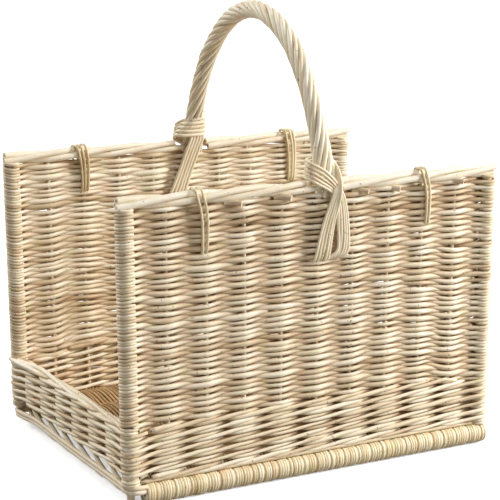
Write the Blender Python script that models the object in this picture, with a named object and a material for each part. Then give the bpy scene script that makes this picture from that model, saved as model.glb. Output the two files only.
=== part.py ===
"""Open-ended wicker log basket with a fixed bow handle.

Two tall woven walls stand on the long sides of a woven base, and two low ends leave the basket open
for logs that are longer than it is. Metres, +Z up, origin on the floor under the middle of the basket.
X runs along the tall walls, and -Y faces the front.
"""

from math import atan2, cos, hypot, pi, sin, sqrt, tau

import bmesh
import bpy
from mathutils import Matrix, Vector

FRONT, BACK = -1, 1
LEFT, RIGHT = -1, 1

# Driving dimensions.
POST_SPACING_X = 0.556  # between the corner posts' axes
POST_SPACING_Y = 0.387
BASE_Z = 0.030  # underside of the woven base, on top of the runners
TRAY_TOP_Z = 0.1055  # top of the low band of heavier rows along the tall walls
END_TOP_Z = 0.0950  # and at the low ends, under their rims
WALL_TOP_Z = 0.3915  # top of the posts, stakes and tall woven walls
GAP = 0.0003  # between pieces that touch

# Rods and sticks.
STAKE_R = 0.0032
BASE_STICK_R = 0.0038
POST_R = 0.0080
ROD_D = 0.0043  # one weaving rod
WALL_HALF = 0.0065  # half the thickness of a woven wall
SLEEVE_R = POST_R + GAP + ROD_D  # the weave where it turns round a post
STAKES_LONG = 9  # on each tall wall
STAKES_END = 6  # on each low end
BASE_STICKS = 5
BASE_THICK = 0.014

# Borders.
RAIL_LOBE_R = 0.0047  # one of the three rods of a rolled border
RAIL_LOBE_OFFSET = 0.0052
RAIL_PITCH = 0.300
RAIL_OUTER_R = RAIL_LOBE_OFFSET + RAIL_LOBE_R
RAIL_Z = WALL_TOP_Z + 2 * GAP + RAIL_OUTER_R
RIM_SHRINK = 0.72  # an end rim against a rail

# Feet.
RUNNER_FLATS = 20  # sides of a bound runner, with one flat side down
RUNNER_R = 0.0150
RUNNER_CORE_R = 0.0100
RUNNER_Z = RUNNER_R * cos(pi / RUNNER_FLATS)
RUNNER_Y = POST_SPACING_Y / 2 + 0.0035
RUNNER_RIGHT_END = 0.284  # both runners reach the outside of the right corner posts
RUNNER_LEFT_END = 0.259  # and stop short of the left foot border
FOOT_ROD_R = 0.0040
FOOT_ROD_Z = 0.0145

# Handle.
HANDLE_X = 0.012  # beside the middle stake
BOW_R = 0.0055
BOW_LEG_R = 0.0045
BOW_LEG_BOTTOM_Z = 0.135
BOW_CENTRE_Z = 0.3363
BOW_HALF_SPAN = 0.1995
BOW_RISE = 0.287
ROPING_R = 0.0125
COLLAR_R = 0.0165
COLLAR_HEIGHT = 0.030
LASHING_THICK = 0.0040
LASHING_BOTTOM_Z = 0.306

# Ties that hold each rail down to the wall.
TIE_X = {LEFT: -0.1755, RIGHT: 0.178}
TIE_WIDTH = 0.009
TIE_THICK = 0.003
TIE_BOTTOM_Z = 0.334

HALF_X = POST_SPACING_X / 2
HALF_Y = POST_SPACING_Y / 2
SIDE_NAMES = {FRONT: "front", BACK: "back"}
END_NAMES = {LEFT: "left", RIGHT: "right"}


def clear_scene():
    for obj in list(bpy.data.objects):
        bpy.data.objects.remove(obj)


def willow(name, colour, roughness):
    """A peeled-willow material."""
    material = bpy.data.materials.new(name)
    material.use_nodes = True
    shader = material.node_tree.nodes["Principled BSDF"]
    shader.inputs["Base Color"].default_value = (*colour, 1)
    shader.inputs["Roughness"].default_value = roughness
    shader.inputs["Metallic"].default_value = 0
    return material


def add_mesh(name, mesh, material, parent=None):
    bm = bmesh.new()
    bm.from_mesh(mesh)
    bmesh.ops.recalc_face_normals(bm, faces=bm.faces)
    bm.to_mesh(mesh)
    bm.free()
    mesh.materials.append(material)
    obj = bpy.data.objects.new(name, mesh)
    bpy.context.collection.objects.link(obj)
    obj.parent = parent
    return obj


def shade_round(obj, angle=0.6):
    obj.data.shade_smooth()
    obj.data.set_sharp_from_angle(angle=angle)
    return obj


def arc(centre, radius, start, end, steps):
    """Points round a circle in the plane, both ends included."""
    return [
        (
            centre[0] + radius * cos(start + (end - start) * i / steps),
            centre[1] + radius * sin(start + (end - start) * i / steps),
        )
        for i in range(steps + 1)
    ]


def circle(centre, radius, sides):
    return arc(centre, radius, 0, tau, sides)[:-1]


def prism(name, outline, holes, height):
    """A flat shape with holes in XY, drawn up along Z from 0 to height."""
    bm = bmesh.new()
    for loop in [outline, *holes]:
        verts = [bm.verts.new((x, y, 0)) for x, y in loop]
        for i, vert in enumerate(verts):
            bm.edges.new((vert, verts[(i + 1) % len(verts)]))
    bmesh.ops.triangle_fill(bm, use_beauty=True, edges=bm.edges[:])
    made = bmesh.ops.extrude_face_region(bm, geom=bm.faces[:])
    raised = [g for g in made["geom"] if isinstance(g, bmesh.types.BMVert)]
    bmesh.ops.translate(bm, verts=raised, vec=(0, 0, height))
    mesh = bpy.data.meshes.new(name)
    bm.to_mesh(mesh)
    bm.free()
    return mesh


def skin(name, sections, closed_ends=True):
    """A tube through rings of points, each ring in the same order."""
    bm = bmesh.new()
    rings = [[bm.verts.new(p) for p in section] for section in sections]
    for near, far in zip(rings, rings[1:]):
        for i in range(len(near)):
            j = (i + 1) % len(near)
            bm.faces.new((near[i], near[j], far[j], far[i]))
    if closed_ends:
        bm.faces.new(rings[0])
        bm.faces.new(rings[-1])
    mesh = bpy.data.meshes.new(name)
    bm.to_mesh(mesh)
    bm.free()
    return mesh


def stick(name, start, end, radius, sides, material):
    """A straight round stick between two points, placed by its object's location and rotation."""
    start, end = Vector(start), Vector(end)
    along = end - start
    rings = [
        [(x, y, z) for x, y in circle((0, 0), radius, sides)]
        for z in (0, along.length)
    ]
    obj = shade_round(add_mesh(name, skin(name, rings), material))
    obj.location = start
    obj.rotation_euler = along.to_track_quat("Z", "Y").to_euler()
    return obj


def cut_with(target, cutters):
    for cutter in cutters:
        cutter.hide_render = True
        cutter.display_type = "WIRE"
        boolean = target.modifiers.new("cut_" + cutter.name, "BOOLEAN")
        boolean.operation = "DIFFERENCE"
        boolean.object = cutter


def join_with(target, pieces):
    for piece in pieces:
        piece.hide_render = True
        piece.display_type = "WIRE"
        boolean = target.modifiers.new("join_" + piece.name, "BOOLEAN")
        boolean.operation = "UNION"
        boolean.object = piece


def long_stake_x():
    spacing = POST_SPACING_X / (STAKES_LONG + 1)
    return [-HALF_X + spacing * (i + 1) for i in range(STAKES_LONG)]


def end_stake_y():
    spacing = POST_SPACING_Y / (STAKES_END + 1)
    return [-HALF_Y + spacing * (i + 1) for i in range(STAKES_END)]


def corner_posts(material):
    for side in (FRONT, BACK):
        for end in (LEFT, RIGHT):
            name = f"corner_post_{SIDE_NAMES[side]}_{END_NAMES[end]}"
            foot = (end * HALF_X, side * HALF_Y, BASE_Z)
            top = (end * HALF_X, side * HALF_Y, WALL_TOP_Z)
            stick(name, foot, top, POST_R, 14, material)


def long_wall_stakes(material):
    for side in (FRONT, BACK):
        for number, x in enumerate(long_stake_x(), 1):
            foot = (x, side * HALF_Y, BASE_Z + GAP)
            top = (x, side * HALF_Y, WALL_TOP_Z)
            name = f"{SIDE_NAMES[side]}_stake_{number}"
            stick(name, foot, top, STAKE_R, 8, material)


def dumbbell():
    """The plan of a long woven wall: a slab whose ends swell into a sleeve round each corner post."""
    spread = atan2(WALL_HALF, sqrt(SLEEVE_R**2 - WALL_HALF**2))
    right = arc((HALF_X, 0), SLEEVE_R, -pi + spread, pi - spread, 14)
    left = arc((-HALF_X, 0), SLEEVE_R, spread, tau - spread, 14)
    return right + left


def long_wall_holes():
    stakes = [circle((x, 0), STAKE_R + GAP, 8) for x in long_stake_x()]
    posts = [circle((end * HALF_X, 0), POST_R + GAP, 14) for end in (LEFT, RIGHT)]
    return stakes + posts


def tall_walls(material):
    """The woven walls above the tray band, each with a hole for the bow's leg and a slot for each tie."""
    bow = circle((HANDLE_X, 0), BOW_LEG_R + GAP, 10)
    bottom = TRAY_TOP_Z + GAP
    for side in (FRONT, BACK):
        name = f"{SIDE_NAMES[side]}_wall_weave"
        mesh = prism(name, dumbbell(), [*long_wall_holes(), bow], WALL_TOP_Z - GAP - bottom)
        wall = add_mesh(name, mesh, material)
        wall.location = (0, side * HALF_Y, bottom)
        slots = []
        for end in (LEFT, RIGHT):
            slot_name = f"slot_{SIDE_NAMES[side]}_{END_NAMES[end]}"
            wide = TIE_WIDTH / 2 + GAP
            tall = TIE_THICK + 2 * GAP
            outline = [(-wide, 0), (wide, 0), (wide, tall), (-wide, tall)]
            slot = add_mesh(slot_name, prism(slot_name, outline, [], 4 * WALL_HALF), material)
            slot.rotation_euler = (pi / 2, 0, 0)
            slot.location = (TIE_X[end], side * HALF_Y + 2 * WALL_HALF, TIE_BOTTOM_Z - GAP)
            slots.append(slot)
        cut_with(wall, slots)


def tray_band(material):
    """The low band of heavier rows: the long sides take the posts, and the ends fit between them."""
    for side in (FRONT, BACK):
        name = f"tray_band_{SIDE_NAMES[side]}"
        mesh = prism(name, dumbbell(), long_wall_holes(), TRAY_TOP_Z - BASE_Z)
        band = add_mesh(name, mesh, material)
        band.location = (0, side * HALF_Y, BASE_Z)
    reach = HALF_Y - SLEEVE_R - GAP
    outline = [(-WALL_HALF, -reach), (WALL_HALF, -reach), (WALL_HALF, reach), (-WALL_HALF, reach)]
    holes = [circle((0, y), STAKE_R + GAP, 8) for y in end_stake_y()]
    for end in (LEFT, RIGHT):
        name = f"tray_band_{END_NAMES[end]}"
        band = add_mesh(name, prism(name, outline, holes, END_TOP_Z - BASE_Z), material)
        band.location = (end * HALF_X, 0, BASE_Z)


def base(weave_material, stick_material):
    """A woven mat round sticks that run the long way."""
    half_y = HALF_Y - WALL_HALF - GAP
    half_x = HALF_X - WALL_HALF - GAP
    spacing = 2 * half_y / BASE_STICKS
    stick_y = [-half_y + spacing * (i + 0.5) for i in range(BASE_STICKS)]
    outline = [(-half_y, 0), (half_y, 0), (half_y, BASE_THICK), (-half_y, BASE_THICK)]
    holes = [circle((y, BASE_THICK / 2), BASE_STICK_R + GAP, 8) for y in stick_y]
    mat = add_mesh("base_weave", prism("base_weave", outline, holes, 2 * half_x), weave_material)
    # The plan's first axis becomes Y, its second Z, and its height X.
    mat.matrix_world = Matrix(((0, 0, 1, -half_x), (1, 0, 0, 0), (0, 1, 0, BASE_Z), (0, 0, 0, 1)))
    # The corners are notched, clear of the sleeves round the posts.
    notches = []
    for side in (FRONT, BACK):
        for end in (LEFT, RIGHT):
            name = f"notch_{SIDE_NAMES[side]}_{END_NAMES[end]}"
            mesh = prism(name, circle((0, 0), SLEEVE_R + GAP, 14), [], 2 * BASE_THICK)
            notch_obj = add_mesh(name, mesh, weave_material)
            notch_obj.location = (end * HALF_X, side * HALF_Y, BASE_Z - BASE_THICK / 2)
            notches.append(notch_obj)
    cut_with(mat, notches)
    for number, y in enumerate(stick_y, 1):
        height = BASE_Z + BASE_THICK / 2
        start, end = (-half_x, y, height), (half_x, y, height)
        stick(f"base_stick_{number}", start, end, BASE_STICK_R, 8, stick_material)


def rolled_border_section(turn, scale):
    """Three rods side by side in a triangle, turned by an angle, as (across, up) points."""
    lobe_r, offset = RAIL_LOBE_R * scale, RAIL_LOBE_OFFSET * scale
    # Where neighbouring lobes meet, seen from a lobe's own centre.
    meet = offset / 2 + sqrt(lobe_r**2 - 0.75 * offset**2)
    reach = atan2(meet * sin(pi / 3), meet * cos(pi / 3) - offset)
    points = []
    for lobe in range(3):
        middle = turn + lobe * tau / 3
        centre = (offset * cos(middle), offset * sin(middle))
        points += arc(centre, lobe_r, middle - reach, middle + reach, 4)[:-1]
    return points


def rolled_border(name, start, end, material, scale=1.0):
    """Three thick rods that roll slowly about each other, level, from start to end."""
    start, end = Vector(start), Vector(end)
    along = (end - start).normalized()
    across = along.cross(Vector((0, 0, 1)))
    length = (end - start).length
    steps = round(length / 0.013)
    sections = []
    for i in range(steps + 1):
        travelled = length * i / steps
        turn = tau * travelled / RAIL_PITCH
        centre = start + along * travelled
        ring = rolled_border_section(turn, scale)
        sections.append([centre + across * a + Vector((0, 0, u)) for a, u in ring])
    return shade_round(add_mesh(name, skin(name, sections), material))


def rails(material):
    """Each rail stops at the handle, so that the bow goes down between its halves."""
    outside = HALF_X + SLEEVE_R
    for side in (FRONT, BACK):
        y = side * HALF_Y
        left = (-outside, y, RAIL_Z), (HANDLE_X - ROPING_R - GAP, y, RAIL_Z)
        right = (HANDLE_X + ROPING_R + GAP, y, RAIL_Z), (outside, y, RAIL_Z)
        rolled_border(f"{SIDE_NAMES[side]}_rail_left", *left, material)
        rolled_border(f"{SIDE_NAMES[side]}_rail_right", *right, material)


def end_rims(material):
    reach = HALF_Y - SLEEVE_R - GAP
    height = END_TOP_Z + 2 * GAP + RAIL_OUTER_R * RIM_SHRINK
    for end in (LEFT, RIGHT):
        x = end * HALF_X
        name = f"{END_NAMES[end]}_end_rim"
        rolled_border(name, (x, -reach, height), (x, reach, height), material, RIM_SHRINK)


def foot_borders(material):
    """At each end the stakes come down through the band, then slant and turn along a foot rod."""
    spacing = POST_SPACING_Y / (STAKES_END + 1)
    past_runners = RUNNER_Y + RUNNER_R
    between_runners = RUNNER_Y - RUNNER_R - 2 * GAP
    for end, reach in ((LEFT, past_runners), (RIGHT, between_runners)):
        x, turn = end * HALF_X, -end  # the slant goes on round the basket, so it turns with the end
        name = f"{END_NAMES[end]}_foot_border"
        rod = stick(name, (x, -reach, FOOT_ROD_Z), (x, reach, FOOT_ROD_Z), FOOT_ROD_R, 8, material)
        stakes = []
        for number, y in enumerate(end_stake_y(), 1):
            low = Vector((x, turn * (y - spacing * 0.55), FOOT_ROD_Z))
            knee = Vector((x, turn * y, BASE_Z - 0.0035))
            top = Vector((x, turn * y, END_TOP_Z - GAP))
            slant, up = (knee - low).normalized(), Vector((0, 0, 1))
            bend = (slant + up).normalized()
            path = [(low, slant, STAKE_R * 0.85), (knee, bend, STAKE_R), (top, up, STAKE_R)]
            sections = [ring_about(*place, 8) for place in path]
            stake_name = f"{END_NAMES[end]}_end_stake_{number}"
            stakes.append(add_mesh(stake_name, skin(stake_name, sections), material))
        join_with(rod, stakes)


def runners(core_material, binding_material):
    """A stick bound all along with split cane, under each tall wall. One flat side is down."""
    half_flat = pi / RUNNER_FLATS
    outside = arc((0, 0), RUNNER_R, half_flat, tau + half_flat, RUNNER_FLATS)[:-1]
    hole = circle((0, 0), RUNNER_CORE_R + GAP, 12)
    length = RUNNER_LEFT_END + RUNNER_RIGHT_END
    for side in (FRONT, BACK):
        name = SIDE_NAMES[side]
        start = Vector((-RUNNER_LEFT_END, side * RUNNER_Y, RUNNER_Z))
        nub = Vector((0.001, 0, 0))
        finish = start + Vector((length, 0, 0))
        core_name = f"{name}_runner_core"
        stick(core_name, start - nub, finish + nub, RUNNER_CORE_R, 12, core_material)
        binding_name = f"{name}_runner_binding"
        mesh = prism(binding_name, outside, [hole], length)
        binding = add_mesh(binding_name, mesh, binding_material)
        binding.rotation_euler = (0, pi / 2, 0)
        binding.location = start


def tie_loop(grow):
    """Round the rail, and down each face of the wall to the slot, as (across, up) points."""
    over_rail = RAIL_OUTER_R + GAP + grow
    beside_wall = WALL_HALF + GAP + grow
    bottom = TIE_BOTTOM_Z + TIE_THICK - grow - RAIL_Z
    lean = 0.35  # the legs leave the rail a little under its middle
    top = arc((0, 0), over_rail, -lean, pi + lean, 10)
    shoulder = -0.018
    left = [(-beside_wall, shoulder), (-beside_wall, bottom)]
    right = [(beside_wall, bottom), (beside_wall, shoulder)]
    return top + left + right


def ties(material):
    for side in (FRONT, BACK):
        for end in (LEFT, RIGHT):
            name = f"{SIDE_NAMES[side]}_tie_{END_NAMES[end]}"
            mesh = prism(name, tie_loop(TIE_THICK), [tie_loop(0)], TIE_WIDTH)
            tie = add_mesh(name, mesh, material)
            # The plan's first axis becomes Y, its second Z, and its height X.
            x, y = TIE_X[end] - TIE_WIDTH / 2, side * HALF_Y
            tie.matrix_world = Matrix(((0, 0, 1, x), (1, 0, 0, y), (0, 1, 0, RAIL_Z), (0, 0, 0, 1)))


def bow_points(low_z, steps):
    """Along the upper part of an ellipse from the front at low_z to the back, with the direction at each."""
    lowest = sqrt(1 - ((low_z - BOW_CENTRE_Z) / BOW_RISE) ** 2)
    start = pi / 2 - atan2(lowest, (low_z - BOW_CENTRE_Z) / BOW_RISE)
    found = []
    for i in range(steps + 1):
        angle = start + (pi - 2 * start) * i / steps
        y, z = -BOW_HALF_SPAN * cos(angle), BOW_CENTRE_Z + BOW_RISE * sin(angle)
        dy, dz = BOW_HALF_SPAN * sin(angle), BOW_RISE * cos(angle)
        size = hypot(dy, dz)
        found.append((Vector((HANDLE_X, y, z)), Vector((0, dy / size, dz / size))))
    return found


def ring_about(centre, direction, radius, sides):
    side = Vector((1, 0, 0))
    up = direction.cross(side)
    return [centre + side * a + up * b for a, b in circle((0, 0), radius, sides)]


def handle_bow(material):
    """A bent stick whose thinned legs go down inside the two walls."""
    arch = bow_points(RAIL_Z, 30)
    down, up = Vector((0, 0, -1)), Vector((0, 0, 1))
    front_leg = [
        (Vector((HANDLE_X, -HALF_Y, z)), up, BOW_LEG_R)
        for z in (BOW_LEG_BOTTOM_Z, WALL_TOP_Z + 0.001)
    ]
    back_leg = [
        (Vector((HANDLE_X, HALF_Y, z)), down, BOW_LEG_R)
        for z in (WALL_TOP_Z + 0.001, BOW_LEG_BOTTOM_Z)
    ]
    middle = [(centre, direction, BOW_R) for centre, direction in arch[1:-1]]
    sections = [ring_about(c, d, r, 10) for c, d, r in [*front_leg, *middle, *back_leg]]
    shade_round(add_mesh("handle_bow", skin("handle_bow", sections), material))


def handle_roping(material):
    """The rods roped round the bow, as one sleeve that is open at both ends."""
    arch = bow_points(RAIL_Z + RAIL_OUTER_R + 0.004, 28)
    outer = [ring_about(c, d, ROPING_R, 14) for c, d in arch]
    inner = [ring_about(c, d, BOW_R + GAP + 0.0004, 14) for c, d in arch]
    # Out along the outside and back along the inside, closed end to end.
    sections = outer + inner[::-1] + outer[:1]
    mesh = skin("handle_roping", sections[:-1], closed_ends=False)
    bm = bmesh.new()
    bm.from_mesh(mesh)
    bmesh.ops.bridge_loops(bm, edges=[e for e in bm.edges if e.is_boundary])
    bm.to_mesh(mesh)
    bm.free()
    shade_round(add_mesh("handle_roping", mesh, material))


def handle_collars(material):
    """Turns of rod round the roped bow, just above each rail."""
    low = RAIL_Z + RAIL_OUTER_R + 0.004
    centre, direction = bow_points(low + COLLAR_HEIGHT / 2, 2)[0]
    for side in (FRONT, BACK):
        name = f"{SIDE_NAMES[side]}_handle_collar"
        hole = circle((0, 0), ROPING_R + 2 * GAP, 14)
        mesh = prism(name, circle((0, 0), COLLAR_R, 14), [hole], COLLAR_HEIGHT)
        mesh.transform(Matrix.Translation((0, 0, -COLLAR_HEIGHT / 2)))
        collar = shade_round(add_mesh(name, mesh, material))
        collar.location = (centre.x, -side * centre.y, centre.z)
        collar.rotation_euler = (side * atan2(direction.y, direction.z), 0, 0)


def lashings(material):
    """Rods that come off the collar and go through the wall: a fork outside and one slanting band inside."""
    top = WALL_TOP_Z - 0.002
    bottom = LASHING_BOTTOM_Z
    fork = [
        (-0.002, top), (-0.024, bottom), (0.003, bottom), (0.0105, top - 0.028),
        (0.011, bottom), (0.032, bottom), (0.032, top - 0.030), (0.022, top),
    ]
    band = [(0.020, top), (-0.010, bottom + 0.018), (-0.040, bottom + 0.018), (-0.004, top)]
    for side in (FRONT, BACK):
        for place, outline, facing in (("outer", fork, side), ("inner", band, -side)):
            name = f"{SIDE_NAMES[side]}_{place}_lashing"
            beside_handle = [(HANDLE_X + x, z) for x, z in outline]
            mesh = prism(name, beside_handle, [], LASHING_THICK)
            lashing = add_mesh(name, mesh, material)
            near = side * HALF_Y + facing * (WALL_HALF + GAP)
            low_y = min(near, near + facing * LASHING_THICK)
            lashing.matrix_world = Matrix(((1, 0, 0, 0), (0, 0, 1, low_y), (0, 1, 0, 0), (0, 0, 0, 1)))


def main():
    clear_scene()
    peeled = willow("peeled_willow", (0.86, 0.74, 0.53), 0.55)
    stout = willow("stout_willow", (0.90, 0.80, 0.62), 0.50)
    split = willow("split_cane", (0.80, 0.67, 0.45), 0.45)
    corner_posts(stout)
    long_wall_stakes(stout)
    tall_walls(peeled)
    tray_band(peeled)
    base(peeled, stout)
    rails(stout)
    end_rims(stout)
    foot_borders(stout)
    runners(stout, split)
    ties(split)
    handle_bow(stout)
    handle_roping(peeled)
    handle_collars(peeled)
    lashings(peeled)


main()
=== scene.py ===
from math import cos, pi, radians, sin, tau

import bpy
import numpy as np
from mathutils import Matrix, Vector


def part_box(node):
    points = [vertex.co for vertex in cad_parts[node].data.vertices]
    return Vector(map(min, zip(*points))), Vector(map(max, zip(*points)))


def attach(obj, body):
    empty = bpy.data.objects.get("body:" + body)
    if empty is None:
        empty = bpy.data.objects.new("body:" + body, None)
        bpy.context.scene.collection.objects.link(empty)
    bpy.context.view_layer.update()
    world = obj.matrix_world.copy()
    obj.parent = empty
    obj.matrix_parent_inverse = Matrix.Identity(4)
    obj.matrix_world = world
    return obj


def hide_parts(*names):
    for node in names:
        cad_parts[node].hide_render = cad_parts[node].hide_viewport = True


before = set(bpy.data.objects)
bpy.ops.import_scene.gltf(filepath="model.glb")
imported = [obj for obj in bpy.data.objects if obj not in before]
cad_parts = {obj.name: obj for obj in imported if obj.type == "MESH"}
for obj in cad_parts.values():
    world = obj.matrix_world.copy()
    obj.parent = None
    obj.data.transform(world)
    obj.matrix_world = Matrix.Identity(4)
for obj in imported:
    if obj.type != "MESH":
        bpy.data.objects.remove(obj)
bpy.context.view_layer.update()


def middleOf(node):
    low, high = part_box(node)
    return (low + high) / 2


def addObject(name, data):
    made = bpy.data.objects.new(name, data)
    bpy.context.scene.collection.objects.link(made)
    return made


# Where things are, read from the frame.
halfX, halfY = middleOf("corner_post_front_right").x, middleOf("corner_post_back_right").y
stakeX = [middleOf(f"front_stake_{i}").x for i in range(1, 10)]
baseZ, trayTopZ = (corner.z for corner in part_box("tray_band_front"))
endTopZ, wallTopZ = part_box("tray_band_left")[1].z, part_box("front_wall_weave")[1].z
railZ, rimZ = middleOf("front_rail_left").z, middleOf("left_end_rim").z
runnerY, runnerZ = middleOf("back_runner_core").y, middleOf("front_runner_core").z
runnerX = [corner.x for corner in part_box("front_runner_core")]
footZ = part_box("left_foot_border")[0].z
handleX = middleOf("handle_bow").x

endStakes = 6
postRadius = 0.008
flare = 0.017  # how much further left the left end stands for each metre of height
print("frame loaded")


# Rods

def unit(vectors):
    return vectors / np.linalg.norm(vectors, axis=-1, keepdims=True)


def smooth(x):
    # 3x squared minus 2x cubed, between 0 and 1
    x = np.clip(x, 0, 1)
    return x * x * (3 - 2 * x)


def wander(rng, terms, longest):
    # A slow random field over two lengths: the sum of sine waves of random direction, between longest and
    # a third of it, scaled to about one
    angle = rng.uniform(0, tau, terms)
    rate = tau / (longest * rng.uniform(0.33, 1, terms))
    shift = rng.uniform(0, tau, terms)

    def field(a, b):
        a, b = np.asarray(a, float)[..., None], np.asarray(b, float)[..., None]
        return np.sin(rate * (np.cos(angle) * a + np.sin(angle) * b) + shift).sum(-1) * (2 / terms) ** 0.5
    return field


def pathOf(x, y, z):
    # Paths from three arrays of coordinates, each widened to the shape of all three
    return np.stack(np.broadcast_arrays(x, y, z), -1).astype(float)


ringAngle = tau * np.arange(16) / 16  # of the turns of rod round an upright


def rods(path, radius, hint, tone, sides=8, flat=1.0, closed=False):
    # A round rod along each row of points. Corner j of a point's ring is the point plus its radius times
    # cos(a) sideways and flat times sin(a) upwards, where a is j turns over the number of sides, and
    # upwards is square to the rod on the hint's side. The ends are shallow cones.
    path = np.asarray(path, float)
    path = path[None] if path.ndim == 2 else path
    count, points = path.shape[:2]
    radius = np.broadcast_to(np.asarray(radius, float), (count, points))
    tone = np.asarray(tone, float)
    tone = np.broadcast_to(tone[:, None] if tone.ndim == 1 and len(tone) == count else tone, (count, points))
    if closed:
        along = np.roll(path, -1, 1) - np.roll(path, 1, 1)
    else:
        along = np.gradient(path, axis=1)
    along = unit(along)
    side = unit(np.cross(along, hint))
    up = np.cross(side, along)
    turn = tau * np.arange(sides) / sides
    ring = np.cos(turn)[:, None] * side[:, :, None] + flat * np.sin(turn)[:, None] * up[:, :, None]
    body = path[:, :, None] + radius[:, :, None, None] * ring
    step = np.linalg.norm(np.diff(path, axis=1), axis=2)
    travelled = np.concatenate([np.zeros((count, 1)), np.cumsum(step, 1)], 1)

    spans = points if closed else points - 1
    rod, i, j = np.meshgrid(np.arange(count), np.arange(spans), np.arange(sides), indexing="ij")
    nextI = (i + 1) % points
    corners = [(i, j), (nextI, j), (nextI, (j + 1) % sides), (i, (j + 1) % sides)]
    quads = np.stack([(rod * points + a) * sides + b for a, b in corners], -1).reshape(-1, 4)
    lengthAt = np.concatenate([travelled, travelled[:, -1:] + step[:, -1:]], 1)
    uAt = [lengthAt[rod, i], lengthAt[rod, i + 1], lengthAt[rod, i + 1], lengthAt[rod, i]]
    vAt = [j / sides, j / sides, (j + 1) / sides, (j + 1) / sides]
    quadMap = np.stack([np.stack(uAt, -1), np.stack(vAt, -1)], -1).reshape(-1, 4, 2)

    verts = body.reshape(-1, 3)
    tones = np.repeat(tone.reshape(-1), sides)
    cut = np.zeros(len(verts))
    tris = np.zeros((0, 3), int)
    triMap = np.zeros((0, 3, 2))
    if not closed:
        tips = np.stack([path[:, 0] - along[:, 0] * radius[:, :1] * 0.1,
                         path[:, -1] + along[:, -1] * radius[:, -1:] * 0.1], 1).reshape(-1, 3)
        first = len(verts)
        verts = np.concatenate([verts, tips])
        tones = np.concatenate([tones, tone[:, [0, -1]].reshape(-1)])
        cut = np.concatenate([cut, np.ones(len(tips))])
        rod, j = np.meshgrid(np.arange(count), np.arange(sides), indexing="ij")
        k = (j + 1) % sides
        start = rod * points * sides
        end = start + (points - 1) * sides
        near = np.stack([first + 2 * rod, start + j, start + k], -1)
        far = np.stack([first + 2 * rod + 1, end + k, end + j], -1)
        tris = np.concatenate([near.reshape(-1, 3), far.reshape(-1, 3)])
        triMap = np.zeros((len(tris), 3, 2))
    return {"verts": verts, "quads": quads, "quadMap": quadMap, "tris": tris, "triMap": triMap,
            "tone": tones, "cut": cut, "paintedShade": np.zeros(len(verts))}


def paintShade(batch, distance, inner, outer):
    # Painted shade, by how far in a point lies: 1 where its distance from the middle is the inner one or
    # less, falling to 0 at the outer one
    batch["paintedShade"] = smooth((outer - distance(batch["verts"])) / (outer - inner))


def piece(name, batches, material, slot, *nodes, sharp=None):
    # Joins batches of rods into one mesh: each batch's corner numbers are moved up past those of the batches
    # before it. A point left of the middle moves further left by the flare times its height times its share
    # of the way to the left end, so the left end leans out.
    shift = np.cumsum([0] + [len(b["verts"]) for b in batches[:-1]])
    verts = np.concatenate([b["verts"] for b in batches])
    leftward = np.clip(-verts[:, 0] / halfX, 0, 1)
    verts[:, 0] -= flare * leftward * np.clip(verts[:, 2] - baseZ, 0, None)
    quads = np.concatenate([b["quads"] + s for b, s in zip(batches, shift)])
    tris = np.concatenate([b["tris"] + s for b, s in zip(batches, shift)])
    maps = np.concatenate([b[key].reshape(-1, 2) for key in ("quadMap", "triMap") for b in batches])
    corners = np.concatenate([quads.reshape(-1), tris.reshape(-1)]).astype(np.int32)
    starts = np.concatenate([np.arange(len(quads)) * 4, len(quads) * 4 + np.arange(len(tris)) * 3])
    mesh = bpy.data.meshes.new(name)
    mesh.vertices.add(len(verts))
    mesh.vertices.foreach_set("co", verts.astype(np.float32).reshape(-1))
    mesh.loops.add(len(corners))
    mesh.loops.foreach_set("vertex_index", corners)
    mesh.polygons.add(len(starts))
    mesh.polygons.foreach_set("loop_start", starts.astype(np.int32))
    mesh.polygons.foreach_set("use_smooth", np.ones(len(starts), bool))
    mesh.update(calc_edges=True)
    mesh.uv_layers.new(name="rodMap").data.foreach_set("uv", maps.astype(np.float32).reshape(-1))
    # Each point's tone, cut and painted shade go to the material as attributes.
    for key in ("tone", "cut", "paintedShade"):
        values = np.concatenate([b[key] for b in batches]).astype(np.float32)
        mesh.attributes.new(key, "FLOAT", "POINT").data.foreach_set("value", values)
    if sharp:
        mesh.set_sharp_from_angle(angle=radians(sharp))
    mesh.materials.append(material)
    made = addObject(name, mesh)
    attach(made, "root")
    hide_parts(*nodes)
    print(name, len(quads) * 2 + len(tris), "triangles")
    return made


# Materials

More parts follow.
